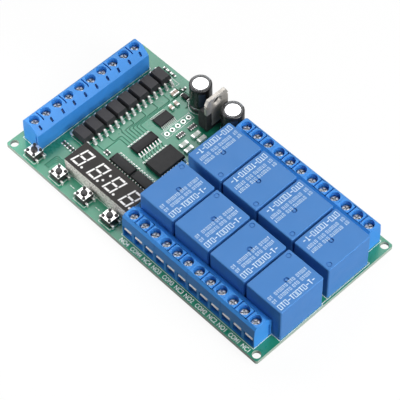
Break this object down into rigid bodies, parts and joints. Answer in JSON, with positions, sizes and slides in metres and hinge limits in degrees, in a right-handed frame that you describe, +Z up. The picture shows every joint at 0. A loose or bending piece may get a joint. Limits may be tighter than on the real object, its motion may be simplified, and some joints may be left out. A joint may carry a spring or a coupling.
{
  "type": "relay module board",
  "caption": "Circuit board with sealed power relays in two rows, blue screw terminals on three sides, optocouplers, a digit display and push-buttons",
  "frame": {"origin": "middle of the board in plan, at the tips of the longest soldered pins below the board", "axes": "+X runs from the input terminals to the relay end, +Y from the push-button edge to the far long edge, +Z up through the components"},
  "size_m": [0.1204, 0.0628, 0.02],
  "materials": {
    "solder_mask": "satin green solder mask",
    "relay_blue": "satin blue moulding",
    "relay_base": "dark blue moulding",
    "terminal_blue": "satin bright blue moulding",
    "tinned_metal": "tinned and plated metal",
    "screw_steel": "plated steel",
    "chip_black": "matt black moulding compound",
    "display_case": "pale grey moulding",
    "display_face": "dark face",
    "display_segment": "off-white segments",
    "button_black": "black moulding",
    "button_plate": "bright plate",
    "sleeve_black": "shrunk black sleeve",
    "can_aluminium": "bare aluminium",
    "tab_metal": "tinned copper tab",
    "resistor_dark": "ceramic chip",
    "capacitor_cream": "cream ceramic"
  },
  "bodies": {
    "board": {"back_terminal_1": "terminal_blue", "back_terminal_2": "terminal_blue", "back_terminal_3": "terminal_blue", "back_terminal_4": "terminal_blue", "button_bases": "button_black", "button_covers": "button_plate", "button_domes": "button_plate", "button_legs": "tinned_metal", "capacitor_cans": "can_aluminium", "capacitor_sleeves": "sleeve_black", "chip_capacitors": "capacitor_cream", "chip_leads": "tinned_metal", "chip_resistors": "resistor_dark", "circuit_board": "solder_mask", "display_face": "display_face", "display_housing": "display_case", "display_pins": "tinned_metal", "display_segments": "display_segment", "front_terminal_1": "terminal_blue", "front_terminal_2": "terminal_blue", "front_terminal_3": "terminal_blue", "front_terminal_4": "terminal_blue", "input_terminal_1": "terminal_blue", "input_terminal_2": "terminal_blue", "input_terminal_3": "terminal_blue", "input_terminal_4": "terminal_blue", "input_terminal_5": "terminal_blue", "microcontroller": "chip_black", "optocoupler_1": "chip_black", "optocoupler_2": "chip_black", "optocoupler_3": "chip_black", "optocoupler_4": "chip_black", "optocoupler_5": "chip_black", "optocoupler_6": "chip_black", "optocoupler_7": "chip_black", "optocoupler_8": "chip_black", "optocoupler_leads": "tinned_metal", "power_leads": "tinned_metal", "protection_diode": "chip_black", "regulator_body": "chip_black", "regulator_tab": "tab_metal", "relay_bases": "relay_base", "relay_case_1": "relay_blue", "relay_case_2": "relay_blue", "relay_case_3": "relay_blue", "relay_case_4": "relay_blue", "relay_case_5": "relay_blue", "relay_case_6": "relay_blue", "relay_case_7": "relay_blue", "relay_case_8": "relay_blue", "relay_driver": "chip_black", "relay_pins": "tinned_metal", "shift_registers": "chip_black", "terminal_clamps": "tinned_metal", "terminal_leaves": "tinned_metal", "terminal_screws": "screw_steel"},
    "button_press_1": {"button_plunger_1": "button_black"},
    "button_press_2": {"button_plunger_2": "button_black"},
    "button_press_3": {"button_plunger_3": "button_black"},
    "button_press_4": {"button_plunger_4": "button_black"}
  },
  "joints": [
    {"name": "press_button_1", "type": "slide", "parent": "board", "child": "button_press_1", "axis": [0, 0, -1], "range_m": [0, 0.00025], "stiffness_N_per_m": 1000},
    {"name": "press_button_2", "type": "slide", "parent": "board", "child": "button_press_2", "axis": [0, 0, -1], "range_m": [0, 0.00025], "stiffness_N_per_m": 1000},
    {"name": "press_button_3", "type": "slide", "parent": "board", "child": "button_press_3", "axis": [0, 0, -1], "range_m": [0, 0.00025], "stiffness_N_per_m": 1000},
    {"name": "press_button_4", "type": "slide", "parent": "board", "child": "button_press_4", "axis": [0, 0, -1], "range_m": [0, 0.00025], "stiffness_N_per_m": 1000}
  ]
}
